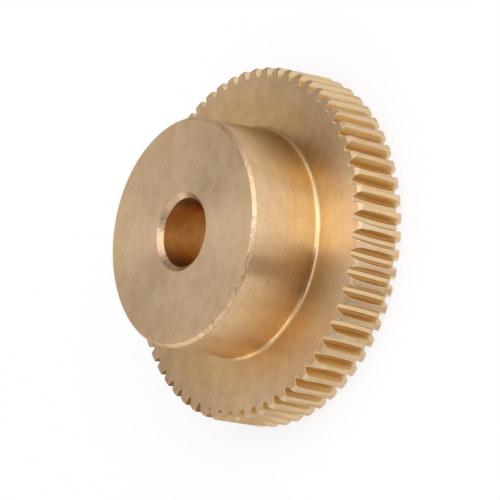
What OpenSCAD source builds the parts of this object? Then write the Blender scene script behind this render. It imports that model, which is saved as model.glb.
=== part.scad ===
// Brass worm wheel with a plain hub on one side.
// The axis of the wheel is Z, and the origin is the centre of its plain back face.

/* [Teeth] */
// Module: the pitch diameter divided by the number of teeth
tooth_module = 0.5; // [0.4:0.05:1.5]
// Number of teeth
teeth = 60; // [50:1:90]
// Pressure angle of the teeth, in degrees
pressure_angle = 20; // [17.5:0.5:22]
// Threads on the mating worm
worm_starts = 1; // [1:1:2]
// Pitch diameter of the mating worm
worm_pitch_d = 8; // [7:0.5:20]
// Outside diameter of the hob that cuts the gaps, which sets how far they dip
hob_d = 25; // [20:1:40]
// Height of a tooth above the pitch circle, in modules
addendum = 1; // [0.8:0.05:1.1]
// Depth of a gap below the pitch circle, in modules
dedendum = 1.25; // [1.1:0.05:1.3]
// Slack between the worm and the wheel, measured along the pitch circle
backlash = 0.02; // [0:0.01:0.08]

/* [Rim] */
// Width of the toothed rim along the axis
face_w = 4.8; // [4:0.1:6]
// Chamfer on both edges of the rim
rim_chamfer = 0.3; // [0.1:0.05:0.4]

/* [Hub] */
// Diameter of the hub
hub_d = 20; // [12:0.5:24]
// Length of the hub beyond the rim
hub_length = 7; // [3:0.5:12]
// Chamfer on the end of the hub
hub_chamfer = 0.3; // [0.1:0.05:0.6]
// Radius left by the turning tool where the hub meets the rim
hub_fillet = 0.4; // [0.2:0.05:0.8]

/* [Bore] */
// Diameter of the bore
bore_d = 6; // [3:0.5:9]
// Chamfer on both ends of the bore
bore_chamfer = 0.45; // [0.1:0.05:0.8]

/* [Hidden] */

// How far a cutting tool reaches past the face that it cuts
overcut = 0.3;
// Facets of the turned surfaces
turned_facets = 180;
// Facets of a full turn of the hob
hob_facets = 120;
brass = [0.80, 0.62, 0.38];

pitch_r = tooth_module * teeth / 2;
tip_r = pitch_r + addendum * tooth_module;
root_r = pitch_r - dedendum * tooth_module;
base_r = pitch_r * cos(pressure_angle);
total_h = face_w + hub_length;
hub_r = hub_d / 2;
bore_r = bore_d / 2;

// The hob's axis crosses the wheel's middle plane at this distance from the wheel's axis
hob_r = hob_d / 2;
hob_distance = root_r + hob_r;
lead_angle = atan(worm_starts * tooth_module / worm_pitch_d);

// The involute function, in degrees, of the pressure angle at a given radius
function flank_angle(r) = acos(base_r / r);
function involute(a) = tan(a) * 180 / PI - a;
// Half the angle of a gap at a given radius, for teeth that take half the pitch less the backlash
function half_gap(r) =
    90 / teeth + involute(flank_angle(r)) - involute(pressure_angle)
    + backlash / (2 * pitch_r) * 180 / PI;

// Radii at which the gap's outline has a point, from its floor to beyond the tips
floor_round = 0.2 * tooth_module;
gap_radii = [root_r + floor_round, pitch_r, tip_r + overcut];
// A flank point as the distance from the hob's axis and the offset from the gap's middle
function flank_point(r) = [hob_distance - r * cos(half_gap(r)), r * sin(half_gap(r))];
flank = [for (r = gap_radii) flank_point(r)];
floor_half_w = flank[0][1] - floor_round;
gap_outline = concat(
    [[hob_r, floor_half_w]],
    flank,
    [for (i = [len(flank) - 1:-1:0]) [flank[i][0], -flank[i][1]]],
    [[hob_r, -floor_half_w]]
);

// The turned section: the outline of the blank on one side of the axis
blank_outline = [
    [bore_r + bore_chamfer, 0],
    [tip_r - rim_chamfer, 0],
    [tip_r, rim_chamfer],
    [tip_r, face_w - rim_chamfer],
    [tip_r - rim_chamfer, face_w],
    [hub_r + hub_fillet, face_w],
    [hub_r + hub_fillet, face_w + hub_fillet],
    [hub_r, face_w + hub_fillet],
    [hub_r, total_h - hub_chamfer],
    [hub_r - hub_chamfer, total_h],
    [bore_r + bore_chamfer, total_h],
    [bore_r, total_h - bore_chamfer],
    [bore_r, bore_chamfer]
];

// Brass blank as it leaves the lathe, with the tool's radius at the foot of the hub
module blank() {
    rotate_extrude($fn = turned_facets)
        difference() {
            polygon(blank_outline);
            translate([hub_r + hub_fillet, face_w + hub_fillet])
                circle(r = hub_fillet, $fn = turned_facets);
        }
}

// One gap between two teeth: the path of the hob, which dips deepest in the middle of the rim
module hob_cut() {
    half_sweep = asin((face_w / 2 + overcut) / (hob_r - dedendum * tooth_module));
    translate([hob_distance, 0, face_w / 2])
        rotate([90 - lead_angle, 0, 0])
            rotate([0, 0, 180 - half_sweep])
                rotate_extrude(angle = 2 * half_sweep, $fn = hob_facets)
                    polygon(gap_outline);
}

module worm_wheel() {
    color(brass)
        difference() {
            blank();
            for (i = [0:teeth - 1])
                rotate([0, 0, i * 360 / teeth])
                    hob_cut();
        }
}

worm_wheel();
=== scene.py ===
"""A brass worm wheel with a plain hub, resting on its back face on a white table."""
import math

import bmesh
import bpy
from mathutils import Matrix, Quaternion, Vector, noise


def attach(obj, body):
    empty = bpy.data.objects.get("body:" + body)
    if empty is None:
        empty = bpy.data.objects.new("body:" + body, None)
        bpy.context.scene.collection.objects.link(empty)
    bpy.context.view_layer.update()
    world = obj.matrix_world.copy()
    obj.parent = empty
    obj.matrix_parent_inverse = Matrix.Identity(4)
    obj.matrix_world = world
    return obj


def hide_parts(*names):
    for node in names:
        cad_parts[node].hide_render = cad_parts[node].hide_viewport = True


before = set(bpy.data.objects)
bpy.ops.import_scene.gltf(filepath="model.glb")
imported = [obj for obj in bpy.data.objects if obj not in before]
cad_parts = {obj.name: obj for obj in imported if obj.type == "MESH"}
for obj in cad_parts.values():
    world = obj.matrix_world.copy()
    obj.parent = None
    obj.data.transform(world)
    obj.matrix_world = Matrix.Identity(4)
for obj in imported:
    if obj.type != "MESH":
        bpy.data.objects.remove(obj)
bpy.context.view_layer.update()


# Camera: a long lens that looks down on the hub from the side, with the wheel's axis lying
# almost level across the picture, so the camera is turned about its own line of sight.
CAMERA_AIM = Vector((-0.000495, 0.000022, 0.004091))
CAMERA_FORWARD = Vector((0.035713, 0.791433, -0.610210))
CAMERA_DISTANCE = 0.390826
CAMERA_TURN = math.radians(-79.685)

camera_data = bpy.data.cameras.new("camera")
camera_data.sensor_width = 36
camera_data.lens = 324.45
camera_data.clip_start = 0.01
camera_data.clip_end = 20
camera = bpy.data.objects.new("camera", camera_data)
camera.location = CAMERA_AIM - CAMERA_FORWARD * CAMERA_DISTANCE
camera.rotation_mode = "QUATERNION"
camera.rotation_quaternion = CAMERA_FORWARD.to_track_quat("-Z", "Y") @ Quaternion((0, 0, 1), CAMERA_TURN)
bpy.context.collection.objects.link(camera)
bpy.context.scene.camera = camera


# The wheel is one piece of brass. Its blank is turned on a lathe: hub, bore, rim and chamfers,
# and a hob then cuts the sixty slanted gaps. Every edge is broken lightly with a brush.
# The mesh is made in millimetres: one pitch of the rim as a grid, and the rest by spinning.
TEETH = 60
TOOTH_MODULE = 0.5
PITCH_R = TOOTH_MODULE * TEETH / 2
TIP_R = PITCH_R + TOOTH_MODULE
ROOT_R = PITCH_R - 1.25 * TOOTH_MODULE
PRESSURE_ANGLE = math.radians(20)
BACKLASH = 0.02
FACE_W = 4.8
RIM_CHAMFER = 0.3
HUB_R = 10
TOTAL_H = 11.8
HUB_CHAMFER = 0.3
HUB_FILLET = 0.4
BORE_R = 3
BORE_CHAMFER = 0.45
# The hob's radius, the distance of its axis from the wheel's, and the slant of its path
HOB_R = 12.5
HOB_DISTANCE = ROOT_R + HOB_R
LEAD_ANGLE = math.atan(1 * TOOTH_MODULE / 8)
FLOOR_ROUND = 0.12
# The toothed grid starts at this radius on both flat sides of the rim
WEB_R = 13.9
EDGE_BREAK = 0.035


def half_gap(radius):
    """Half the angle of a gap at a radius, between two involute flanks."""
    base_r = PITCH_R * math.cos(PRESSURE_ANGLE)
    angle = math.acos(base_r / radius)
    involute = math.tan(angle) - angle
    pitch_involute = math.tan(PRESSURE_ANGLE) - PRESSURE_ANGLE
    return math.pi / 2 / TEETH + involute - pitch_involute + BACKLASH / 2 / PITCH_R


def hob_flank(radius):
    """A point of the hob's flank: its distance from the hob's axis, and along that axis."""
    angle = half_gap(radius)
    return HOB_DISTANCE - radius * math.cos(angle), radius * math.sin(angle)


def gap_point(hob_point, side, z):
    """Where a point of the hob's outline passes height z, as a point of the gap on +X."""
    reach, along = hob_point[0], hob_point[1] * side
    swing = (along * math.sin(LEAD_ANGLE) - (z - FACE_W / 2)) / math.cos(LEAD_ANGLE)
    return Vector((
        HOB_DISTANCE - math.sqrt(reach * reach - swing * swing),
        -swing * math.sin(LEAD_ANGLE) - along * math.cos(LEAD_ANGLE),
        z,
    ))


def blank_radius(z):
    """The rim's outside radius before it is cut, chamfers included."""
    return TIP_R - max(0, RIM_CHAMFER - z, RIM_CHAMFER - (FACE_W - z))


def flank_end(side, z):
    """The radius on the hob's flank at which it leaves the blank at height z."""
    low, high = ROOT_R + FLOOR_ROUND, TIP_R + 0.6
    for _ in range(40):
        middle = (low + high) / 2
        if gap_point(hob_flank(middle), side, z).xy.length < blank_radius(z):
            low = middle
        else:
            high = middle
    return low


def gap_side(side, z):
    """Half a gap at height z, from the middle of its floor to the middle of the land beside it."""
    low = ROOT_R + FLOOR_ROUND
    foot = hob_flank(low)
    corner = (HOB_R, foot[1] - FLOOR_ROUND * 0.8)
    points = [gap_point((HOB_R, 0), side, z)]
    for step in range(4):
        # The floor's corner is a quarter round, taken as a curve with its knee at the corner
        t = step / 3
        knee = (HOB_R, foot[1] - FLOOR_ROUND * 0.1)
        reach = (1 - t) ** 2 * corner[0] + 2 * t * (1 - t) * knee[0] + t * t * foot[0]
        along = (1 - t) ** 2 * corner[1] + 2 * t * (1 - t) * knee[1] + t * t * foot[1]
        points.append(gap_point((reach, along), side, z))
    end = flank_end(side, z)
    for step in (1, 2, 3, 4):
        points.append(gap_point(hob_flank(low + (end - low) * step / 4), side, z))
    edge = math.atan2(points[-1].y, points[-1].x)
    middle = -side * math.pi / TEETH
    for step in (1, 2):
        angle = edge + (middle - edge) * step / 2
        points.append(Vector((math.cos(angle), math.sin(angle), 0)) * blank_radius(z) + Vector((0, 0, z)))
    return points


def add_rim(mesh):
    """One pitch of the rim, wrapped over the front, the gap and the back, then sixty of them."""
    heights = [FACE_W, FACE_W - RIM_CHAMFER, 4.1, 3.6, 3.0, 2.4, 1.8, 1.2, 0.7, RIM_CHAMFER, 0]
    across = len(gap_side(1, 0)) * 2 - 2
    rows = len(heights) + 1
    sheet = bmesh.ops.create_grid(mesh, x_segments=across, y_segments=rows, size=1)["verts"]
    slices = [gap_side(1, z)[::-1] + gap_side(-1, z)[1:] for z in heights]
    place = {}
    for vert in sheet:
        column = round((vert.co.x + 1) / 2 * across)
        row = round((vert.co.y + 1) / 2 * rows)
        place[vert] = (column, row)
        if 0 < row < rows:
            vert.co = slices[row - 1][column]
        else:
            # The grid's end rows meet the spun part, which has six steps to a pitch
            angle = math.radians(round(6 * column / across) - 3)
            z = FACE_W if row == 0 else 0
            vert.co = Vector((WEB_R * math.cos(angle), WEB_R * math.sin(angle), z))
    for face in {face for vert in sheet for face in vert.link_faces}:
        columns = [place[vert][0] for vert in face.verts]
        rows_here = [place[vert][1] for vert in face.verts]
        in_gap = min(columns) >= 2 and max(columns) <= across - 2
        face.material_index = 1 if in_gap and min(rows_here) >= 1 and max(rows_here) <= rows - 1 else 0
    bmesh.ops.spin(
        mesh, geom=mesh.verts[:] + mesh.edges[:] + mesh.faces[:], cent=(0, 0, 0), axis=(0, 0, 1),
        angle=2 * math.pi * (TEETH - 1) / TEETH, steps=TEETH - 1, use_duplicate=True,
    )


def add_turned_part(mesh):
    """The front web, the hub, the bore and the back web, spun from one outline."""
    foot = Vector((HUB_R + HUB_FILLET, FACE_W + HUB_FILLET))
    outline = [(WEB_R, FACE_W)]
    for step in range(9):
        angle = math.radians(-90 - 90 * step / 8)
        outline.append((foot.x + HUB_FILLET * math.cos(angle), foot.y + HUB_FILLET * math.sin(angle)))
    outline += [
        (HUB_R, 7),
        (HUB_R, 9),
        (HUB_R, TOTAL_H - HUB_CHAMFER),
        (HUB_R - HUB_CHAMFER, TOTAL_H),
        (6.5, TOTAL_H),
        (BORE_R + BORE_CHAMFER, TOTAL_H),
        (BORE_R, TOTAL_H - BORE_CHAMFER),
        (BORE_R, 6),
        (BORE_R, BORE_CHAMFER),
        (BORE_R + BORE_CHAMFER, 0),
        (8, 0),
        (WEB_R, 0),
    ]
    points = [mesh.verts.new((r, 0, z)) for r, z in outline]
    edges = [mesh.edges.new(pair) for pair in zip(points, points[1:])]
    bmesh.ops.spin(
        mesh, geom=points + edges, cent=(0, 0, 0), axis=(0, 0, 1),
        angle=2 * math.pi, steps=360, use_merge=True,
    )


def roughen_chamfers(mesh):
    """Moves the rings of the hub's and the bore's chamfers a little, as a hand-held tool leaves them."""
    rings = {
        (HUB_R, TOTAL_H - HUB_CHAMFER): (0, 0.012),
        (HUB_R - HUB_CHAMFER, TOTAL_H): (0.012, 0),
        (BORE_R + BORE_CHAMFER, TOTAL_H): (0.01, 0),
        (BORE_R, TOTAL_H - BORE_CHAMFER): (0, 0.01),
    }
    for vert in mesh.verts:
        radius = vert.co.xy.length
        for (ring_r, ring_z), (sideways, upwards) in rings.items():
            if abs(radius - ring_r) < 0.001 and abs(vert.co.z - ring_z) < 0.001:
                coarse = noise.noise(vert.co * 1.3 + Vector((0, 0, 5 * ring_r)))
                fine = noise.noise(vert.co * 4.5 + Vector((3 * ring_r, 0, 0)))
                shift = 0.6 * coarse + fine
                vert.co.xy *= 1 + sideways * shift / radius
                vert.co.z += upwards * shift


wheel_bmesh = bmesh.new()
add_rim(wheel_bmesh)
add_turned_part(wheel_bmesh)
bmesh.ops.remove_doubles(wheel_bmesh, verts=wheel_bmesh.verts, dist=0.0005)
bmesh.ops.recalc_face_normals(wheel_bmesh, faces=wheel_bmesh.faces)
roughen_chamfers(wheel_bmesh)
sharp_edges = [
    edge for edge in wheel_bmesh.edges
    if edge.is_manifold and edge.calc_face_angle() > math.radians(32)
]
bmesh.ops.bevel(
    wheel_bmesh, geom=sharp_edges, offset=EDGE_BREAK, offset_type="OFFSET", affect="EDGES",
    segments=2, profile=0.5, material=-1, clamp_overlap=True,
)
for wheel_face in wheel_bmesh.faces:
    wheel_face.smooth = abs(wheel_face.normal.z) < 0.9999
    if wheel_face.calc_center_median().xy.length < BORE_R + 0.001:
        wheel_face.material_index = 2
bench_mesh = bpy.data.meshes.new("wheel_in_millimetres")
wheel_bmesh.to_mesh(bench_mesh)
wheel_bmesh.free()
# The normals are evened out while the wheel is still in millimetres, so that its flat faces
# shade flat and only the broken edges catch the light, and then it is brought to metres.
bench = bpy.data.objects.new("bench", bench_mesh)
bpy.context.collection.objects.link(bench)
even_normals = bench.modifiers.new("even_normals", "WEIGHTED_NORMAL")
even_normals.mode = "FACE_AREA"
even_normals.thresh = 0
bpy.context.view_layer.update()
seen = bpy.context.evaluated_depsgraph_get()
wheel_mesh = bpy.data.meshes.new_from_object(bench.evaluated_get(seen), preserve_all_data_layers=True, depsgraph=seen)
wheel_mesh.name = "wheel"
wheel_mesh.transform(Matrix.Scale(0.001, 4))
bpy.data.objects.remove(bench)
wheel = bpy.data.objects.new("wheel", wheel_mesh)
bpy.context.collection.objects.link(wheel)

BRASS = (0.772, 0.558, 0.363, 1)
BRASS_WARM = (0.68, 0.466, 0.276, 1)
# The bore's brass is darker and more orange than the rest: painted shade and painted warm inter-reflection inside the
# hole
BORE_PAINTED_SHADE_BRASS = (0.80, 0.51, 0.22, 1)
BORE_PAINTED_SHADE_WARM = (0.66, 0.37, 0.12, 1)
GAP_BRASS = (0.755, 0.57, 0.35, 1)
GAP_WARM = (0.705, 0.52, 0.29, 1)
# How much of the plain white sheen is left where brass is seen at a glancing angle
EDGE_TINT = (0.88, 0.78, 0.66, 1)
# Spacing of the tool marks, in metres
FEED_MARK = 0.00018
FEED_BAND = 0.0007


def add_node(tree, kind, links=(), **settings):
    """A node with its settings, and links from other nodes' sockets to its inputs."""
    node = tree.nodes.new(kind)
    for name, value in settings.items():
        setattr(node, name, value)
    for socket, source in links:
        if isinstance(source, bpy.types.NodeSocket):
            tree.links.new(source, node.inputs[socket])
        else:
            node.inputs[socket].default_value = source
    return node


def scratch_lines(tree, place, turn, spacing, length):
    """Sparse straight scratches at one angle across the flat faces: 1 on a scratch, 0 beside it."""
    across = add_node(tree, "ShaderNodeMapping", [
        ("Vector", place), ("Rotation", (0, 0, math.radians(turn))), ("Scale", (1 / length, 1 / spacing, 1 / length)),
    ])
    streaks = add_node(tree, "ShaderNodeTexNoise", [
        ("Vector", across.outputs[0]), ("Scale", 1), ("Detail", 1), ("Roughness", 0.4),
    ])
    return add_node(tree, "ShaderNodeMapRange", [
        ("Value", streaks.outputs["Fac"]), ("From Min", 0.66), ("From Max", 0.74), ("To Min", 0), ("To Max", 1),
    ]).outputs[0]


def turned_brass(name, clean, stained):
    """Free-cutting brass from the lathe: rings left by the tool, scratches, pits and thin stains, with painted shade
    and a painted highlight tint at the foot of the hub.
    """
    material = bpy.data.materials.new(name)
    material.use_nodes = True
    tree = material.node_tree
    shader = tree.nodes["Principled BSDF"]
    coordinates = add_node(tree, "ShaderNodeTexCoord")
    place = coordinates.outputs["Object"]
    split = add_node(tree, "ShaderNodeSeparateXYZ", [("Vector", place)])
    flat = add_node(tree, "ShaderNodeCombineXYZ", [("X", split.outputs["X"]), ("Y", split.outputs["Y"])])
    radius = add_node(tree, "ShaderNodeVectorMath", [(0, flat.outputs[0])], operation="LENGTH")
    around = add_node(tree, "ShaderNodeVectorMath", [(0, flat.outputs[0])], operation="NORMALIZE")
    tangent = add_node(
        tree, "ShaderNodeVectorMath", [(0, (0, 0, 1)), (1, around.outputs[0])], operation="CROSS_PRODUCT"
    )
    # The tool's path grows with the radius on a flat face, and with the height on a round one
    path = add_node(
        tree, "ShaderNodeMath", [(0, radius.outputs["Value"]), (1, split.outputs["Z"])], operation="ADD"
    )
    turn = add_node(
        tree, "ShaderNodeVectorMath", [(0, around.outputs[0]), (1, (1.6, 1.6, 0))], operation="MULTIPLY"
    )
    turn_split = add_node(tree, "ShaderNodeSeparateXYZ", [("Vector", turn.outputs[0])])
    marks = []
    for spacing, detail in ((FEED_MARK, 2), (FEED_BAND, 3)):
        step = add_node(tree, "ShaderNodeMath", [(0, path.outputs[0]), (1, 1 / spacing)], operation="MULTIPLY")
        wound = add_node(tree, "ShaderNodeCombineXYZ", [
            ("X", step.outputs[0]), ("Y", turn_split.outputs["X"]), ("Z", turn_split.outputs["Y"]),
        ])
        marks.append(add_node(tree, "ShaderNodeTexNoise", [
            ("Vector", wound.outputs[0]), ("Scale", 1), ("Detail", detail), ("Roughness", 0.6),
        ]).outputs["Fac"])
    rings, bands = marks
    clouds = add_node(tree, "ShaderNodeTexNoise", [
        ("Vector", place), ("Scale", 650), ("Detail", 6), ("Roughness", 0.68),
    ])
    grain = add_node(tree, "ShaderNodeTexNoise", [
        ("Vector", place), ("Scale", 5200), ("Detail", 2), ("Roughness", 0.6),
    ])
    scratches = None
    for turn_angle, spacing, length in ((24, 0.00013, 0.0022), (-52, 0.00016, 0.0026), (98, 0.00012, 0.0015)):
        line = scratch_lines(tree, place, turn_angle, spacing, length)
        scratches = line if scratches is None else add_node(
            tree, "ShaderNodeMath", [(0, scratches), (1, line)], operation="MAXIMUM"
        ).outputs[0]
    # Only the flat faces were handled enough to be scratched
    facing = add_node(tree, "ShaderNodeSeparateXYZ", [("Vector", coordinates.outputs["Normal"])])
    flatness = add_node(tree, "ShaderNodeMath", [(0, facing.outputs["Z"])], operation="ABSOLUTE")
    flat_face = add_node(tree, "ShaderNodeMath", [(0, flatness.outputs[0]), (1, 0.95)], operation="GREATER_THAN")
    below_hub = add_node(tree, "ShaderNodeMath", [
        (0, split.outputs["Z"]), (1, (FACE_W + 0.05) / 1000),
    ], operation="LESS_THAN")
    scratches = add_node(tree, "ShaderNodeMath", [
        (0, scratches), (1, flat_face.outputs[0]),
    ], operation="MULTIPLY").outputs[0]
    # Pits: one cell in nine or so holds a small dark one
    cells = add_node(tree, "ShaderNodeTexVoronoi", [("Vector", place), ("Scale", 620), ("Randomness", 1)])
    cell_split = add_node(tree, "ShaderNodeSeparateColor", [("Color", cells.outputs["Color"])])
    pit_size = add_node(tree, "ShaderNodeMapRange", [
        ("Value", cell_split.outputs["Red"]), ("From Min", 0.87), ("From Max", 1), ("To Min", 0), ("To Max", 0.09),
    ])
    pit_depth = add_node(tree, "ShaderNodeMath", [
        (0, pit_size.outputs[0]), (1, cells.outputs["Distance"]),
    ], operation="SUBTRACT")
    pits = add_node(tree, "ShaderNodeMapRange", [
        ("Value", pit_depth.outputs[0]), ("From Min", 0), ("From Max", 0.03), ("To Min", 0), ("To Max", 1),
    ])
    ring_height = add_node(tree, "ShaderNodeMath", [(0, bands), (1, 0.45), (2, rings)], operation="MULTIPLY_ADD")
    grain_height = add_node(tree, "ShaderNodeMath", [
        (0, grain.outputs["Fac"]), (1, 0.5), (2, ring_height.outputs[0]),
    ], operation="MULTIPLY_ADD")
    scratch_height = add_node(tree, "ShaderNodeMath", [
        (0, scratches), (1, -1.2), (2, grain_height.outputs[0]),
    ], operation="MULTIPLY_ADD")
    # The hand-held tool chattered on the chamfers of the hub and the bore
    hub_chamfer = add_node(tree, "ShaderNodeMapRange", [
        ("Value", path.outputs[0]),
        ("From Min", (HUB_R + TOTAL_H - HUB_CHAMFER - 0.04) / 1000),
        ("From Max", (HUB_R + TOTAL_H - HUB_CHAMFER - 0.01) / 1000),
        ("To Min", 0), ("To Max", 1),
    ])
    rise = add_node(tree, "ShaderNodeMath", [
        (0, split.outputs["Z"]), (1, radius.outputs["Value"]),
    ], operation="SUBTRACT")
    bore_chamfer = add_node(tree, "ShaderNodeMapRange", [
        ("Value", rise.outputs[0]),
        ("From Min", (TOTAL_H - BORE_R - BORE_CHAMFER - 0.04) / 1000),
        ("From Max", (TOTAL_H - BORE_R - BORE_CHAMFER - 0.01) / 1000),
        ("To Min", 0), ("To Max", 0.5),
    ])
    rim_edge = add_node(tree, "ShaderNodeMapRange", [
        ("Value", path.outputs[0]),
        ("From Min", (TIP_R + FACE_W - RIM_CHAMFER - 0.04) / 1000),
        ("From Max", (TIP_R + FACE_W - RIM_CHAMFER - 0.01) / 1000),
        ("To Min", 0), ("To Max", 1),
    ])
    rim_chamfer = add_node(tree, "ShaderNodeMath", [
        (0, rim_edge.outputs[0]), (1, below_hub.outputs[0]),
    ], operation="MULTIPLY")
    outer_chamfers = add_node(tree, "ShaderNodeMath", [
        (0, hub_chamfer.outputs[0]), (1, rim_chamfer.outputs[0]),
    ], operation="MAXIMUM")
    chamfers = add_node(tree, "ShaderNodeMath", [
        (0, outer_chamfers.outputs[0]), (1, bore_chamfer.outputs[0]),
    ], operation="ADD")
    chatter = add_node(tree, "ShaderNodeTexNoise", [
        ("Vector", place), ("Scale", 2800), ("Detail", 3), ("Roughness", 0.75),
    ])
    chatter_depth = add_node(tree, "ShaderNodeMath", [
        (0, chatter.outputs["Fac"]), (1, 16),
    ], operation="MULTIPLY")
    chatter_height = add_node(tree, "ShaderNodeMath", [
        (0, chatter_depth.outputs[0]), (1, chamfers.outputs[0]), (2, scratch_height.outputs[0]),
    ], operation="MULTIPLY_ADD")
    height = add_node(tree, "ShaderNodeMath", [
        (0, pits.outputs[0]), (1, -2), (2, chatter_height.outputs[0]),
    ], operation="MULTIPLY_ADD")
    bump = add_node(tree, "ShaderNodeBump", [
        ("Strength", 0.3), ("Distance", 0.00002), ("Height", height.outputs[0]),
    ])
    cloud_stain = add_node(tree, "ShaderNodeMapRange", [
        ("Value", clouds.outputs["Fac"]), ("From Min", 0.38), ("From Max", 0.68), ("To Min", 0), ("To Max", 0.9),
    ])
    band_stain = add_node(tree, "ShaderNodeMapRange", [
        ("Value", bands), ("From Min", 0.35), ("From Max", 0.7), ("To Min", 0), ("To Max", 0.3),
    ])
    ring_stain = add_node(tree, "ShaderNodeMapRange", [
        ("Value", rings), ("From Min", 0.38), ("From Max", 0.66), ("To Min", 0), ("To Max", 0.42),
    ])
    # The rings show least on the flat faces, which were polished after turning
    ring_share = add_node(tree, "ShaderNodeMath", [
        (0, flat_face.outputs[0]), (1, -0.7), (2, 1),
    ], operation="MULTIPLY_ADD")
    ringed = add_node(tree, "ShaderNodeMath", [
        (0, ring_stain.outputs[0]), (1, ring_share.outputs[0]), (2, band_stain.outputs[0]),
    ], operation="MULTIPLY_ADD")
    stain = add_node(tree, "ShaderNodeMath", [
        (0, cloud_stain.outputs[0]), (1, ringed.outputs[0]),
    ], operation="ADD", use_clamp=True)
    colour = add_node(tree, "ShaderNodeMix", [
        ("Factor", stain.outputs[0]), ("A", clean), ("B", stained),
    ], data_type="RGBA")
    # The web is a little redder than the hub
    web = add_node(tree, "ShaderNodeMath", [
        (0, flat_face.outputs[0]), (1, below_hub.outputs[0]),
    ], operation="MULTIPLY")
    faced = add_node(tree, "ShaderNodeMix", [
        ("Factor", web.outputs[0]), ("A", colour.outputs["Result"]), ("B", (1.045, 1.02, 0.98, 1)),
    ], data_type="RGBA", blend_type="MULTIPLY")
    scratch_share = add_node(tree, "ShaderNodeMath", [(0, scratches), (1, 0.13)], operation="MULTIPLY")
    scratched = add_node(tree, "ShaderNodeMix", [
        ("Factor", scratch_share.outputs[0]), ("A", faced.outputs["Result"]), ("B", (0.88, 0.70, 0.52, 1)),
    ], data_type="RGBA")
    # Dirt sits in the deepest marks of the chamfers, in patches, and the bore's chamfer is duller
    dirt = add_node(tree, "ShaderNodeMapRange", [
        ("Value", chatter.outputs["Fac"]), ("From Min", 0.36), ("From Max", 0.48), ("To Min", 1), ("To Max", 0),
    ])
    dirt_patches = add_node(tree, "ShaderNodeTexNoise", [
        ("Vector", place), ("Scale", 420), ("Detail", 1), ("Roughness", 0.5),
    ])
    patch_share = add_node(tree, "ShaderNodeMapRange", [
        ("Value", dirt_patches.outputs["Fac"]), ("From Min", 0.47), ("From Max", 0.6), ("To Min", 0), ("To Max", 0.8),
    ])
    dirt_depth = add_node(tree, "ShaderNodeMath", [
        (0, dirt.outputs[0]), (1, patch_share.outputs[0]),
    ], operation="MULTIPLY")
    chamfer_dirt = add_node(tree, "ShaderNodeMath", [
        (0, dirt_depth.outputs[0]), (1, outer_chamfers.outputs[0]),
    ], operation="MULTIPLY")
    dirt_share = add_node(tree, "ShaderNodeMath", [
        (0, bore_chamfer.outputs[0]), (1, 0.5), (2, chamfer_dirt.outputs[0]),
    ], operation="MULTIPLY_ADD")
    dirty = add_node(tree, "ShaderNodeMix", [
        ("Factor", dirt_share.outputs[0]), ("A", scratched.outputs["Result"]), ("B", (0.36, 0.24, 0.14, 1)),
    ], data_type="RGBA")
    pitted = add_node(tree, "ShaderNodeMix", [
        ("Factor", pits.outputs[0]), ("A", dirty.outputs["Result"]), ("B", (0.22, 0.13, 0.06, 1)),
    ], data_type="RGBA")
    # Painted shade and painted warm inter-reflection: the colour is darker and more orange towards the corner where the
    # hub meets the rim
    low = add_node(tree, "ShaderNodeMath", [(0, split.outputs["Z"]), (1, 0.6)], operation="MULTIPLY")
    foot = add_node(tree, "ShaderNodeCombineXYZ", [("X", radius.outputs["Value"]), ("Y", low.outputs[0])])
    foot_distance = add_node(tree, "ShaderNodeVectorMath", [
        (0, foot.outputs[0]), (1, (HUB_R / 1000, 0.6 * FACE_W / 1000, 0)),
    ], operation="DISTANCE")
    painted_foot_shade = add_node(tree, "ShaderNodeMapRange", [
        ("Value", foot_distance.outputs["Value"]), ("From Min", 0.0005), ("From Max", 0.0055),
        ("To Min", 1), ("To Max", 0),
    ], interpolation_type="SMOOTHSTEP")
    # The painted shade is made thinner on the side towards the camera and the front lamps, most of all on the hub
    to_viewer = add_node(tree, "ShaderNodeVectorMath", [
        (0, around.outputs[0]), (1, (0.276, -0.961, 0)),
    ], operation="DOT_PRODUCT")
    painted_shade_by_side = add_node(tree, "ShaderNodeMapRange", [
        ("Value", to_viewer.outputs["Value"]), ("From Min", 0.92), ("From Max", 0.985),
        ("To Min", 1), ("To Max", 0.1),
    ], interpolation_type="SMOOTHSTEP")
    web_painted_shade = add_node(tree, "ShaderNodeMath", [(0, flat_face.outputs[0]), (1, 0.5)], operation="MULTIPLY")
    painted_shade_left = add_node(tree, "ShaderNodeMath", [
        (0, painted_shade_by_side.outputs[0]), (1, web_painted_shade.outputs[0]),
    ], operation="MAXIMUM")
    painted_shade_share = add_node(tree, "ShaderNodeMath", [
        (0, painted_foot_shade.outputs[0]), (1, painted_shade_left.outputs[0]),
    ], operation="MULTIPLY")
    foot_shaded = add_node(tree, "ShaderNodeMix", [
        ("Factor", painted_shade_share.outputs[0]), ("A", pitted.outputs["Result"]), ("B", (0.96, 0.895, 0.70, 1)),
    ], data_type="RGBA", blend_type="MULTIPLY")
    # Painted highlight: where the painted shade is thinned on the lit front side of the foot, the colour is painted
    # yellower
    shade_kept = add_node(tree, "ShaderNodeMath", [
        (0, painted_foot_shade.outputs[0]), (1, painted_shade_by_side.outputs[0]),
    ], operation="MULTIPLY")
    front_highlight_share = add_node(tree, "ShaderNodeMath", [
        (0, painted_foot_shade.outputs[0]), (1, shade_kept.outputs[0]),
    ], operation="SUBTRACT")
    front_highlighted = add_node(tree, "ShaderNodeMix", [
        ("Factor", front_highlight_share.outputs[0]), ("A", foot_shaded.outputs["Result"]), ("B", (0.96, 1.04, 1.0, 1)),
    ], data_type="RGBA", blend_type="MULTIPLY")
    roughness = add_node(tree, "ShaderNodeMapRange", [
        ("Value", clouds.outputs["Fac"]), ("From Min", 0.3), ("From Max", 0.7), ("To Min", 0.27), ("To Max", 0.33),
    ])
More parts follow.
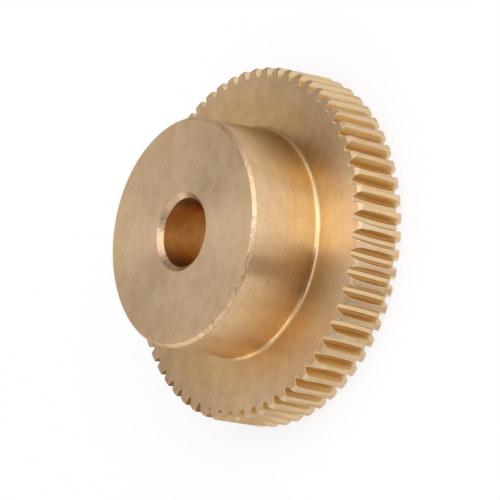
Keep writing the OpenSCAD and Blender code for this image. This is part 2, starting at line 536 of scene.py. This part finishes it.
    # The web was faced with a coarser feed towards the teeth
    outward = add_node(tree, "ShaderNodeMapRange", [
        ("Value", radius.outputs["Value"]), ("From Min", 0.0105), ("From Max", 0.0145), ("To Min", 0), ("To Max", 0.11),
    ])
    web_roughness = add_node(tree, "ShaderNodeMath", [
        (0, outward.outputs[0]), (1, below_hub.outputs[0]), (2, roughness.outputs[0]),
    ], operation="MULTIPLY_ADD")
    shader.inputs["Metallic"].default_value = 1
    shader.inputs["Specular Tint"].default_value = EDGE_TINT
    shader.inputs["Anisotropic"].default_value = 0.9
    shader.inputs["Anisotropic Rotation"].default_value = 0.25
    tree.links.new(front_highlighted.outputs["Result"], shader.inputs["Base Color"])
    tree.links.new(web_roughness.outputs[0], shader.inputs["Roughness"])
    tree.links.new(tangent.outputs[0], shader.inputs["Tangent"])
    tree.links.new(bump.outputs[0], shader.inputs["Normal"])
    return material


def hobbed_brass():
    """The gaps as the hob leaves them: brighter than the lathe's work, with fine cuts along them."""
    material = bpy.data.materials.new("hobbed_brass")
    material.use_nodes = True
    tree = material.node_tree
    shader = tree.nodes["Principled BSDF"]
    place = add_node(tree, "ShaderNodeTexCoord").outputs["Object"]
    stretch = add_node(tree, "ShaderNodeMapping", [("Vector", place), ("Scale", (9000, 9000, 700))])
    cuts = add_node(tree, "ShaderNodeTexNoise", [
        ("Vector", stretch.outputs[0]), ("Scale", 1), ("Detail", 2), ("Roughness", 0.5),
    ])
    bump = add_node(tree, "ShaderNodeBump", [
        ("Strength", 0.3), ("Distance", 0.00001), ("Height", cuts.outputs["Fac"]),
    ])
    colour = add_node(tree, "ShaderNodeMix", [
        ("Factor", cuts.outputs["Fac"]), ("A", GAP_BRASS), ("B", GAP_WARM),
    ], data_type="RGBA")
    shader.inputs["Metallic"].default_value = 1
    shader.inputs["Roughness"].default_value = 0.22
    tree.links.new(colour.outputs["Result"], shader.inputs["Base Color"])
    tree.links.new(bump.outputs[0], shader.inputs["Normal"])
    return material


wheel_mesh.materials.append(turned_brass("turned_brass", BRASS, BRASS_WARM))
wheel_mesh.materials.append(hobbed_brass())
# The bore takes the brass with painted shade and painted inter-reflection
wheel_mesh.materials.append(turned_brass("bore_painted_shade_brass", BORE_PAINTED_SHADE_BRASS, BORE_PAINTED_SHADE_WARM))
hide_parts("worm_wheel")
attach(wheel, "root")


# The table is a sheet of white board that runs out past the picture. It is lit to white, and it
# keeps a faint shadow under the wheel's edge.
table_bmesh = bmesh.new()
bmesh.ops.create_grid(table_bmesh, x_segments=1, y_segments=1, size=3)
bmesh.ops.translate(table_bmesh, vec=(0, 0, -0.00002), verts=table_bmesh.verts)
table_mesh = bpy.data.meshes.new("table")
table_bmesh.to_mesh(table_mesh)
table_bmesh.free()
table = bpy.data.objects.new("table", table_mesh)
bpy.context.collection.objects.link(table)
board = bpy.data.materials.new("white_board")
board.use_nodes = True
board_tree = board.node_tree
board_shader = board_tree.nodes["Principled BSDF"]
board_shader.inputs["Base Color"].default_value = (0.9, 0.9, 0.9, 1)
board_shader.inputs["Roughness"].default_value = 0.9
board_shader.inputs["Specular IOR Level"].default_value = 0
ray = add_node(board_tree, "ShaderNodeLightPath")
seen = add_node(board_tree, "ShaderNodeMath", [
    (0, ray.outputs["Is Camera Ray"]), (1, ray.outputs["Is Glossy Ray"]),
], operation="MAXIMUM")
seen_through = add_node(board_tree, "ShaderNodeMath", [
    (0, seen.outputs[0]), (1, ray.outputs["Is Transmission Ray"]),
], operation="MAXIMUM")
glow = add_node(board_tree, "ShaderNodeEmission", [("Color", (1, 1, 1, 1)), ("Strength", 1)])
board_mix = add_node(board_tree, "ShaderNodeMixShader")
glow_share = add_node(board_tree, "ShaderNodeMath", [
    (0, seen_through.outputs[0]), (1, 0.75),
], operation="MULTIPLY")
board_tree.links.new(glow_share.outputs[0], board_mix.inputs[0])
board_tree.links.new(board_shader.outputs[0], board_mix.inputs[1])
board_tree.links.new(glow.outputs[0], board_mix.inputs[2])
board_tree.links.new(board_mix.outputs[0], board_tree.nodes["Material Output"].inputs["Surface"])
table_mesh.materials.append(board)


# Studio light: a pale room, a wide softbox overhead and two in front, with dark cards between them
# that give the brass its darker reflections. Each one faces the wheel, and is given by the way
# it lies from the wheel in degrees, its size in metres and how bright its face is.
STAND_OFF = 0.5


def stand(azimuth, elevation):
    """Where a softbox or card stands, and the turn that makes it face the wheel."""
    a, e = math.radians(azimuth), math.radians(elevation)
    away = Vector((math.cos(a) * math.cos(e), math.sin(a) * math.cos(e), math.sin(e)))
    return away * STAND_OFF + Vector((0, 0, 0.006)), (-away).to_track_quat("-Z", "Y")


def softbox(name, azimuth, elevation, width, height, brightness):
    """An area lamp. Brightness 1 is as bright as the white table."""
    lamp_data = bpy.data.lights.new(name, "AREA")
    lamp_data.shape = "RECTANGLE"
    lamp_data.size = width
    lamp_data.size_y = height
    lamp_data.energy = math.pi * width * height * brightness
    lamp = bpy.data.objects.new(name, lamp_data)
    lamp.rotation_mode = "QUATERNION"
    lamp.location, lamp.rotation_quaternion = stand(azimuth, elevation)
    bpy.context.collection.objects.link(lamp)


def only_reflected(sheet, colour):
    """Gives a card its colour, and leaves it to be seen by the brass alone, as a reflection."""
    sheet.visible_camera = False
    sheet.visible_diffuse = False
    sheet.visible_shadow = False
    bpy.context.collection.objects.link(sheet)
    paper = bpy.data.materials.new(sheet.name)
    paper.use_nodes = True
    paper_tree = paper.node_tree
    paper_shader = add_node(paper_tree, "ShaderNodeEmission", [("Color", (*colour, 1))])
    paper_tree.links.new(paper_shader.outputs[0], paper_tree.nodes["Material Output"].inputs["Surface"])
    sheet.data.materials.append(paper)


def card(name, azimuth, elevation, width, height, grey):
    """A sheet of dark card on a stand."""
    card_bmesh = bmesh.new()
    bmesh.ops.create_grid(card_bmesh, x_segments=1, y_segments=1, size=0.5)
    bmesh.ops.scale(card_bmesh, vec=(width, height, 1), verts=card_bmesh.verts)
    card_mesh = bpy.data.meshes.new(name)
    card_bmesh.to_mesh(card_mesh)
    card_bmesh.free()
    sheet = bpy.data.objects.new(name, card_mesh)
    sheet.rotation_mode = "QUATERNION"
    sheet.location, sheet.rotation_quaternion = stand(azimuth, elevation)
    only_reflected(sheet, (grey, grey, grey))


def table_card(name, azimuth, spread, near, far, colour):
    """A wedge of card that lies on the table."""
    wedge_bmesh = bmesh.new()
    edge = [wedge_bmesh.verts.new((near, 0, 0.00005)), wedge_bmesh.verts.new((far, 0, 0.00005))]
    edge.append(wedge_bmesh.edges.new(edge))
    bmesh.ops.rotate(
        wedge_bmesh, verts=edge[:2], cent=(0, 0, 0), matrix=Matrix.Rotation(math.radians(azimuth - spread / 2), 3, "Z")
    )
    bmesh.ops.spin(
        wedge_bmesh, geom=edge, cent=(0, 0, 0), axis=(0, 0, 1), angle=math.radians(spread), steps=12
    )
    wedge_mesh = bpy.data.meshes.new(name)
    wedge_bmesh.to_mesh(wedge_mesh)
    wedge_bmesh.free()
    only_reflected(bpy.data.objects.new(name, wedge_mesh), colour)


room = bpy.data.worlds.new("room")
room.use_nodes = True
room.node_tree.nodes["Background"].inputs["Color"].default_value = (0.68, 0.68, 0.68, 1)
room.node_tree.nodes["Background"].inputs["Strength"].default_value = 1
bpy.context.scene.world = room
softbox("overhead", -80, 78, 0.42, 0.42, 1.45)
softbox("front_right", -62, 24, 0.42, 0.38, 1.65)
softbox("side_right", -20, 32, 0.28, 0.36, 0.9)
softbox("front_left", -168, 16, 0.30, 0.22, 1.35)
softbox("back_left", 146, 18, 0.20, 0.22, 1.15)
card("lens_card", -111, 38, 0.36, 0.6, 0.01)
card("back_card", 39, 37, 0.42, 0.42, 0.24)
table_card("lens_shade", -108, 16, 0.02, 0.2, (0.5, 0.5, 0.5))
table_card("back_shade", 60, 80, 0.02, 0.2, (0.75, 0.75, 0.75))
table_card("left_shade", 115, 30, 0.02, 0.2, (0.9, 0.9, 0.9))
table_card("rim_shade", 150, 60, 0.0165, 0.0235, (0.30, 0.19, 0.12))
table_card("front_rim_shade", -160, 40, 0.0165, 0.022, (0.72, 0.63, 0.55))

bpy.context.scene.view_settings.view_transform = "Standard"
